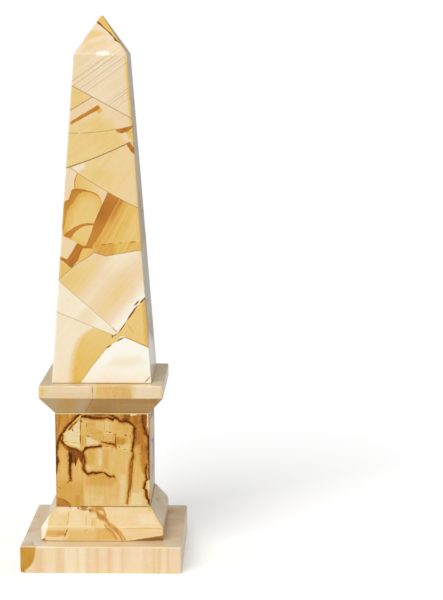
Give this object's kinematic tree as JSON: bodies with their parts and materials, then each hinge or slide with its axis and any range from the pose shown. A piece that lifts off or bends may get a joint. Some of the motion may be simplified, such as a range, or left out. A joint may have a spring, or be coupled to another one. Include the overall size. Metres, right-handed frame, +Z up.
{
  "type": "ornamental stone table obelisk",
  "caption": "Table ornament in the form of an obelisk: a tapered stone shaft with a pointed top on a stepped pedestal of polished veined blocks.",
  "frame": {"origin": "centre of the plinth's underside", "axes": "+Z up along the shaft, +X to the right of the figured front, -Y towards the front"},
  "size_m": [0.127, 0.127, 0.434],
  "materials": {
    "plinth_stone": "polished, slightly worn",
    "socle_stone": "polished, slightly worn",
    "die_stone": "polished",
    "cap_stone": "polished, slightly worn",
    "shaft_stone": "polished",
    "bed_cement": "matte"
  },
  "bodies": {
    "root": {"plinth": "plinth_stone", "socle": "socle_stone", "die": "die_stone", "cap": "cap_stone", "shaft": "shaft_stone", "socle_bed": "bed_cement", "die_bed": "bed_cement", "cap_bed": "bed_cement", "shaft_bed": "bed_cement"}
  },
  "joints": []
}
